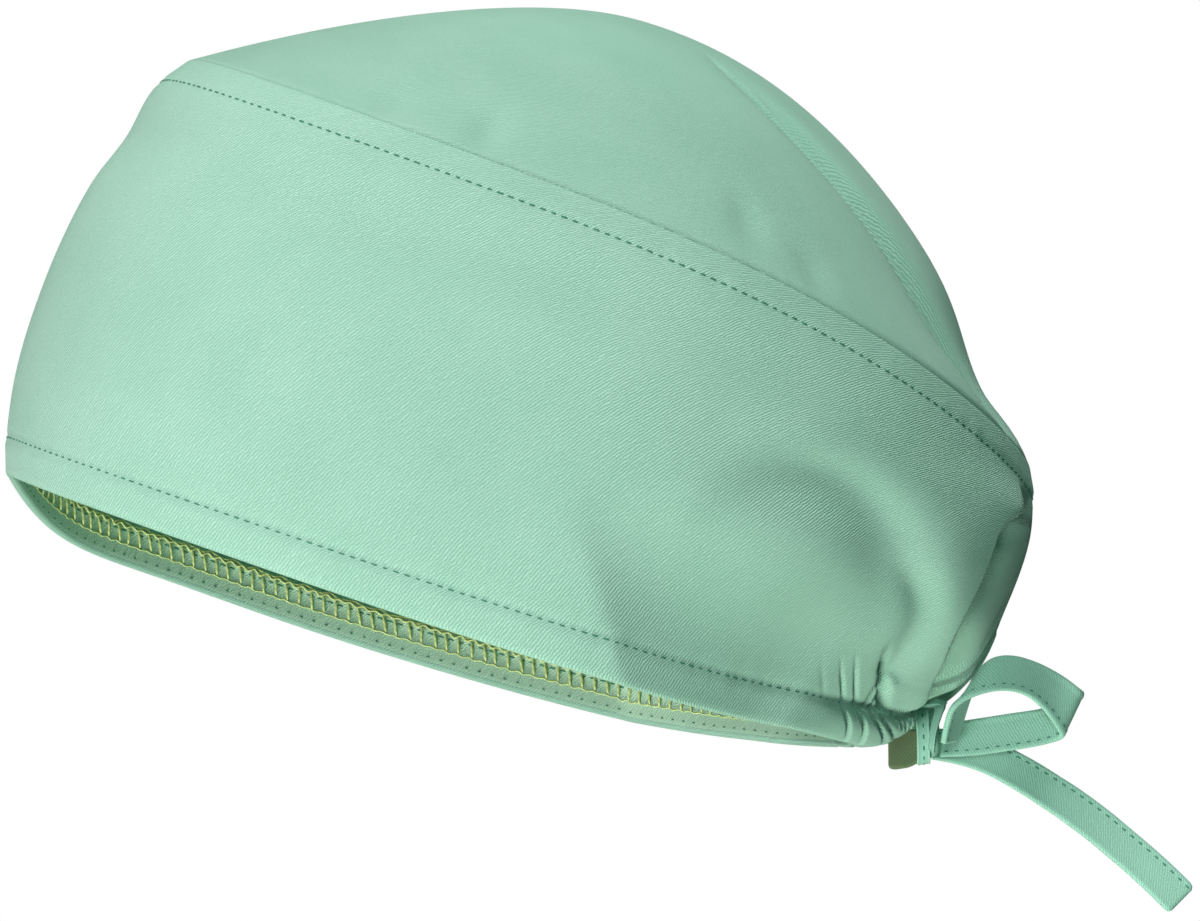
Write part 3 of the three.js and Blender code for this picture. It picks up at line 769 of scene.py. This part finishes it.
# overlock over the raw edge of the turn-up: a ladder of slanting threads between a low and a high rail
overlock = dict(low=4.7, middle=6.6, high=8.5, pitch=3.0, slant=1.3, radius=0.33, lift=0.2, stray=0.24,
                strayUp=0.6, reach=148, railSteps=8, railUneven=0.7)
rails = [
    dict(name="overlockLow", height=4.6, swing=0.16, waves=1.0, radius=0.17, lift=0.1),
    dict(name="overlockHigh", height=8.7, swing=0.34, waves=1.0, radius=0.26, lift=0.2),
    dict(name="overlockEdge", height=9.3, swing=0.26, waves=0.5, radius=0.24, lift=0.1),
]


def overlockRungs():
    # one thread a pitch, from the high rail down to the low one, each a little astray
    theta = evenAngles(level(overlock["middle"]), overlock["pitch"], insideDepth)
    theta = theta[sideAngle(theta) < overlock["reach"]]
    draw = np.random.default_rng(21)
    stray = draw.normal(0, overlock["stray"], (3, len(theta)))
    step = 0.01
    here, ahead = (bandSkin(theta + turn, 0 * theta + overlock["middle"])[0] for turn in (0, step))
    perLength = step / np.linalg.norm(ahead - here, axis=-1)
    depth = insideDepth + overlock["lift"] + 0 * theta
    ends = [bandSkin(theta + perLength * (side * overlock["slant"] / 2 + stray[k]),
                     overlock[key] + overlock["strayUp"] * stray[2], depth)
            for k, (key, side) in enumerate((("high", 1), ("low", -1)))]
    centre, along = (ends[0][0] + ends[1][0]) / 2, ends[1][0] - ends[0][0]
    length = np.linalg.norm(along, axis=-1)
    return stitchRow("overlockRungs", centre, unit(along), -ends[0][1], length, overlock["radius"],
                     material=limeThread)


def overlockRail(name, height, swing, waves, radius, lift):
    # a thread round the band whose height swings once or so for each rung
    theta = evenAngles(level(height), overlock["pitch"] / overlock["railSteps"], insideDepth)
    theta = theta[sideAngle(theta) < overlock["reach"]]
    count = np.arange(len(theta)) / overlock["railSteps"]
    uneven = overlock["railUneven"] * wander(theta, (151, 187, 233), 5)
    path = bandSkin(theta, height + swing * (np.sin(2 * math.pi * waves * count) + uneven),
                    insideDepth + lift + 0 * theta)[0]
    breaks = np.flatnonzero(np.diff(theta) > 0.1) + 1  # where the nape is left out
    parts = [sweep(part, 5, radius) for part in np.split(path, breaks)]
    first = np.r_[0, np.cumsum([len(points) for points, faces, uv in parts])]
    faces = np.concatenate([part[1] + start for part, start in zip(parts, first)])
    return newPiece(name, np.concatenate([part[0] for part in parts]), [faces],
                    np.concatenate([part[2] for part in parts]), limeThread)


overlockPieces = [overlockRungs()] + [overlockRail(**rail) for rail in rails]
print("sewing made")

# ties: folded tape, 8.6 wide; lean turns its width in the side view from upright towards the back,
# out turns it to the wearer's right, span is the share of the full width
tie = dict(width=8.6, thick=1.5, around=28, power=5.0, perRow=10)
# the tape's profile: share of the thickness in its middle, thicker edges, and a groove under the stitches;
# its tip: lengths over which the corners are rounded and the end thins out, and by how much
tapeShape = dict(flat=0.8, edge=0.28, edgeAt=0.86, edgeHalf=0.16, groove=0.2, grooveHalf=0.07,
                 cornerLength=1.6, corner=0.22, thinLength=0.6, thin=0.45)
tapeStitch = dict(inset=1.35, pitch=2.3, length=1.3, radius=0.17, lift=0.36, steps=40)
loopRoute = dict(
    x=[107.0, 108.0, 109.4, 111.8, 115.8, 120.4, 125.2, 129.8, 133.4, 134.3, 132.8, 127.4, 120.0, 113.0,
       105.7],
    y=[-3.0, -5.4, -8.0, -9.4, -9.2, -7.6, -5.8, -3.8, -1.8, 0.2, 2.2, 2.8, 2.8, 2.8, 2.2],
    z=[-28.6, -24.4, -20.2, -16.8, -14.4, -13.8, -15.0, -17.8, -21.2, -22.2, -23.2, -24.8, -26.0, -27.0,
       -27.8],
    lean=[72, 68, 52, 24, 6, 4, 12, 22, 26, 26, 22, 12, 9, 9, 8],
    out=[60, 58, 52, 42, 30, 24, 20, 12, 0, 0, 0, 0, 0, 0, 0],
    span=[0.81, 0.93, 1.0, 1.0, 1.02, 1.02, 1.0, 1.08, 1.23, 1.26, 1.19, 1.02, 1.0, 0.98, 0.88],
)
tailRoute = dict(
    x=[103.6, 108.2, 112.9, 117.3, 121.5, 125.6, 129.6, 133.5, 137.3, 141.0, 144.6, 148.2, 151.7, 155.1,
       158.4],
    y=[4.0, 4.9, 5.6, 5.7, 5.6, 5.4, 5.2, 4.9, 4.6, 4.3, 4.0, 3.7, 3.3, 2.9, 2.4],
    z=[-28.4, -28.9, -29.9, -31.6, -33.8, -36.2, -38.8, -41.4, -44.2, -47.1, -50.2, -53.3, -56.5, -59.8,
       -63.2],
    lean=[4, 6, 10, 17, 25, 30, 33, 35, 36, 37, 39, 41, 43, 44, 45],
    out=[0, 0, 1, 4, 9, 12, 14, 16, 18, 18, 18, 18, 16, 15, 14],
    span=[0.81, 0.87, 0.91, 0.91, 0.92, 0.94, 0.96, 0.98, 1.0, 1.0, 1.0, 1.0, 1.0, 1.0, 1.0],
)
endRoute = dict(
    x=[100.0, 98.2, 96.0, 93.7],
    y=[-0.9, -0.8, -0.5, 0.2],
    z=[-29.4, -29.8, -30.1, -30.3],
    lean=[0, 0, 0, 0],
    out=[2, 2, 3, 4],
    span=[0.88, 0.98, 1.0, 1.0],
)


def tapeFrame(route, count):
    # middle line, half-width vectors and face normals of a tape, smooth through the rows of its route
    middle = np.stack([route["x"], route["y"], route["z"]], -1)
    lean, out = np.radians(route["lean"]), np.radians(route["out"])
    width = np.stack([np.sin(lean) * np.cos(out), np.sin(out), np.cos(lean) * np.cos(out)], -1)
    width = width * (np.array(route["span"]) * tie["width"] / 2)[:, None]
    knots = np.r_[0, np.cumsum(np.linalg.norm(np.diff(middle, axis=0), axis=1) ** 0.5)]
    at = np.linspace(0, knots[-1], count)
    line, half = throughKnots(knots, middle, at), throughKnots(knots, width, at)
    face = unit(np.cross(np.gradient(line, axis=0), half))
    return line, half, face


def closedTube(name, rings, uv, node, material=tieTwill):  # rings of points, the first and last filled in
    rows, around = rings.shape[:2]
    ring = np.arange(around)
    ends = np.stack([ring[::-1], ring + (rows - 1) * around])
    corners = np.concatenate([gridCorners(uv), np.zeros((ends.size, 2))])
    return newPiece(name, rings.reshape(-1, 3), [gridFaces(rows, around, True), ends], corners, material,
                    node)


def tapeMesh(name, route, node=None, tipEnd=False, material=tieTwill):
    # profile: a flattened super-ellipse, thicker along the two folded edges, carried along the route;
    # a free tip has its corners rounded and its end thinned
    shape, count = tapeShape, tie["perRow"] * (len(route["x"]) - 1) + 1
    line, half, face = tapeFrame(route, count)
    length = wayAlong(line)
    turn = 2 * math.pi * np.arange(tie["around"] + 1) / tie["around"]
    across, through = (np.sign(wave) * np.abs(wave) ** (2 / tie["power"])
                       for wave in (np.cos(turn), np.sin(turn)))
    ridge = shape["flat"] + shape["edge"] * bell(np.abs(across) - shape["edgeAt"], shape["edgeHalf"])
    stitched = 1 - 2 * tapeStitch["inset"] / tie["width"]
    groove = 1 - shape["groove"] * bell(across - stitched, shape["grooveHalf"])
    left = length[-1] - length if tipEnd else np.full(count, tie["width"])
    rounding = np.sqrt(np.clip(1 - (1 - left / shape["cornerLength"]) ** 2, 0, 1))
    corner = np.where(left < shape["cornerLength"], 1 - shape["corner"] * (1 - rounding), 1.0)
    flat = np.minimum(shape["thin"] + (1 - shape["thin"]) * left / shape["thinLength"], 1.0)
    points = (line[:, None] + half[:, None] * (across[None] * corner[:, None])[..., None]
              + face[:, None] * (through * ridge * groove * tie["thick"] / 2 * flat[:, None])[..., None])
    girth = wayAlong(np.stack([across * tie["width"] / 2, through * tie["thick"] / 2], -1))
    piece = closedTube(name, points[:, :-1], uvGrid(length, girth), node, material)
    return piece, line, length


def tapeStitches(name, route, edge, faces=(1, -1)):
    # a row of stitches along one edge of a tape, on the faces named
    line, half, face = tapeFrame(route, tapeStitch["steps"] * len(route["x"]))
    rowLine = line + half * edge * (1 - 2 * tapeStitch["inset"] / tie["width"])
    length = wayAlong(rowLine)
    count = int(length[-1] / tapeStitch["pitch"])
    at = (np.arange(count) + 0.5) * length[-1] / count

    def pick(values):
        return np.stack([np.interp(at, length, values[:, k]) for k in range(3)], -1)

    centre, normal = pick(rowLine), unit(pick(face))
    along = unit(pick(np.gradient(rowLine, axis=0)))
    lift = tie["thick"] * tapeStitch["lift"]
    return stitchRow(name, np.concatenate([centre + side * normal * lift for side in faces]),
                     np.concatenate([along for side in faces]),
                     np.concatenate([side * normal for side in faces]),
                     tapeStitch["length"], tapeStitch["radius"])


tieLoop, loopLine, loopLength = tapeMesh("tieLoop", loopRoute, "tie_loop")
tieTail, tailLine, tailLength = tapeMesh("tieTail", tailRoute, "tie_tail", True)
# the short end takes the dark olive finish, painted shade under the casing
tieEnd = tapeMesh("tieEnd", endRoute, "tie_end", True, tieEndShade)[0]
loopStitches = tapeStitches("loopStitches", loopRoute, -1)
tailStitches = tapeStitches("tailStitches", tailRoute, 1)
print("ties made: loop %.1f mm, tail %.1f mm" % (loopLength[-1], tailLength[-1]))

# knot: a bundled core, the tape wrapped once round it, a slanting strip of the same tape and a roll over
# the top; a ripple has its size, its count round the core and its slant
knot = dict(y=-1.2, z=-26.6, x=[100.9, 101.5, 102.2, 102.9, 103.6, 104.4, 104.8],
            depth=[2.2, 3.2, 3.5, 3.0, 3.4, 3.0, 2.2], height=[3.8, 4.8, 5.2, 4.8, 5.2, 4.7, 3.8],
            rows=40, around=64, girth=30, ripples=[(0.03, 3, 2.2), (0.02, 7, -3)])
wrap = dict(x=101.1, lean=82, y=-1.3, z=-26.7, depth=4.6, height=6.1, span=0.34, points=22, turns=1.04,
            begins=-20, slip=1.0)
wrapStrip = dict(
    x=[105.2, 104.9, 104.2, 103.3, 102.7, 102.4],
    y=[-2.0, -4.4, -5.4, -5.9, -5.4, -2.5],
    z=[-20.4, -21.3, -23.6, -26.6, -29.6, -31.6],
    lean=[80, 80, 78, 74, 72, 70],
    out=[0, 0, 0, 0, 0, 0],
    span=[0.26, 0.26, 0.23, 0.21, 0.2, 0.2],
)
wrapRoll = dict(
    x=[100.2, 101.6, 103.2, 104.8, 106.0],
    y=[-2.6, -4.0, -4.4, -4.0, -2.8],
    z=[-21.4, -20.7, -20.3, -20.2, -20.4],
    lean=[30, 30, 30, 30, 30],
    out=[40, 40, 40, 40, 40],
    span=[0.2, 0.22, 0.22, 0.2, 0.18],
)


def wrapRoute():  # once round the core, the tape's width across it
    share = np.linspace(0, 1, wrap["points"])
    turn = math.radians(wrap["begins"]) + 2 * math.pi * wrap["turns"] * share
    flat = 0 * turn
    return dict(x=wrap["x"] + wrap["slip"] * (share - 0.5), y=wrap["y"] + wrap["depth"] * np.cos(turn),
                z=wrap["z"] + wrap["height"] * np.sin(turn), lean=flat + wrap["lean"], out=flat,
                span=flat + wrap["span"])


def makeKnot():
    # an upright oval at each station across the knot, with a slanting ripple round it
    at = np.linspace(knot["x"][0], knot["x"][-1], knot["rows"])
    depth = throughKnots(knot["x"], knot["depth"], at)[:, None]
    height = throughKnots(knot["x"], knot["height"], at)[:, None]
    turn = roundTurn(knot["around"])[None, :]
    ripple = 1 + sum(size * np.sin(count * turn + slant * at[:, None])
                     for size, count, slant in knot["ripples"])
    points = np.stack([at[:, None] + 0 * turn, knot["y"] + depth * np.cos(turn) * ripple,
                       knot["z"] + height * np.sin(turn) * ripple], -1)
    uv = uvGrid(at, np.linspace(0, knot["girth"], knot["around"] + 1))
    return closedTube("tieKnot", points, uv, "tie_knot")


makeKnot()
for name, route in (("knotWrap", wrapRoute()), ("knotStrip", wrapStrip), ("knotRoll", wrapRoll)):
    tapeMesh(name, route)
tapeStitches("wrapStitches", wrapRoute(), 0, (1,))
print("knot made")

# the tail's and the loop's first points, lengths and lines in metres; the values are not kept
tailLine[0] * mm
tailLength[-1] * mm
tailLine * mm
loopLine[0] * mm
loopLength[-1] * mm
loopLine * mm


# stage: white surround, pale floor well below the ties, soft light mostly from the camera's left, and a
# lamp under the rim; light that has gone between folds of green cloth is green, and the surround and the
# front lamp stand in for some of it
stageSet = dict(
    floorDrop=-0.9, floorSize=0.8, floorDark=(0.40, 0.40, 0.40, 1), floorPale=(0.44, 0.44, 0.44, 1),
    surroundTint=(0.60, 1.0, 0.88), surroundAim=(-0.5, -0.6, 0.62),
    surround=dict(fromMin=-0.7, fromMax=0.9, toMin=0.07, toMax=0.18),
    lamps=[
        dict(name="key light", place=(-0.5, -1.2, 1.4), power=19.5, size=0.6, tint=(1.0, 0.92, 0.935)),
        dict(name="high light", place=(0.9, -0.3, 1.9), power=10.5, size=0.6, tint=(0.97, 1.0, 0.98)),
        dict(name="fill light", place=(-0.2, -1.9, 0.3), power=9, size=0.6, tint=(0.76, 1.0, 0.91)),
        dict(name="left light", place=(-1.7, -0.8, 0.3), power=6, size=0.6, tint=(1.0, 0.87, 0.89)),
        dict(name="low light", place=(-1.0, -1.4, -0.7), power=10.5, size=0.6, tint=(1.0, 0.81, 0.91)),
        dict(name="under light", place=(-0.15, -0.2, -0.65), power=4.0, size=0.3, tint=(0.90, 1.0, 0.86)),
    ],
)


def setStage():
    scene = bpy.context.scene
    scene.world = bpy.data.worlds.new("surround")
    around, reach = Finish(scene.world), stageSet["surround"]
    toward = around.node("VectorMath", {"operation": "DOT_PRODUCT"},
                         {0: around.node("TexCoord"), 1: stageSet["surroundAim"]}, 1)
    strength = around.node("MapRange", inputs={
        "Value": toward, "From Min": reach["fromMin"], "From Max": reach["fromMax"],
        "To Min": reach["toMin"], "To Max": reach["toMax"]})
    lit = around.node("Background", inputs={"Color": (*stageSet["surroundTint"], 1), "Strength": strength})
    seen = around.node("Background", inputs={"Color": (1, 1, 1, 1), "Strength": 1.0})
    mixed = around.node("MixShader", inputs={0: around.node("LightPath"), 1: lit, 2: seen})
    around.node("OutputWorld", inputs={"Surface": mixed})
    scene.view_settings.view_transform = "Standard"

    pale = Finish(bpy.data.materials.new("pale floor"))
    grain = pale.node("TexNoise", inputs={"Scale": 6.0, "Detail": 2.0})
    colour = pale.mix(grain, stageSet["floorDark"], stageSet["floorPale"])
    size, drop = stageSet["floorSize"] / 2, stageSet["floorDrop"]
    mesh = bpy.data.meshes.new("floor")
    corners = [(x * size, y * size, drop) for x, y in ((-1, -1), (1, -1), (1, 1), (-1, 1))]
    mesh.from_pydata(corners, [], [(0, 1, 2, 3)])
    mesh.materials.append(pale.surface({"Base Color": colour, "Roughness": 0.9}))
    floor = bpy.data.objects.new("floor", mesh)
    scene.collection.objects.link(floor)

    def lamp(name, place, power, size, tint):
        data = bpy.data.lights.new(name, "AREA")
        data.energy, data.size, data.shape, data.color = power, size, "DISK", tint
        light = bpy.data.objects.new(name, data)
        scene.collection.objects.link(light)
        light.location = place
        aimed = Vector(shot["target"]) - Vector(place)
        light.rotation_euler = aimed.to_track_quat("-Z", "Y").to_euler()

    for one in stageSet["lamps"]:
        lamp(**one)


setStage()
print("stage set")
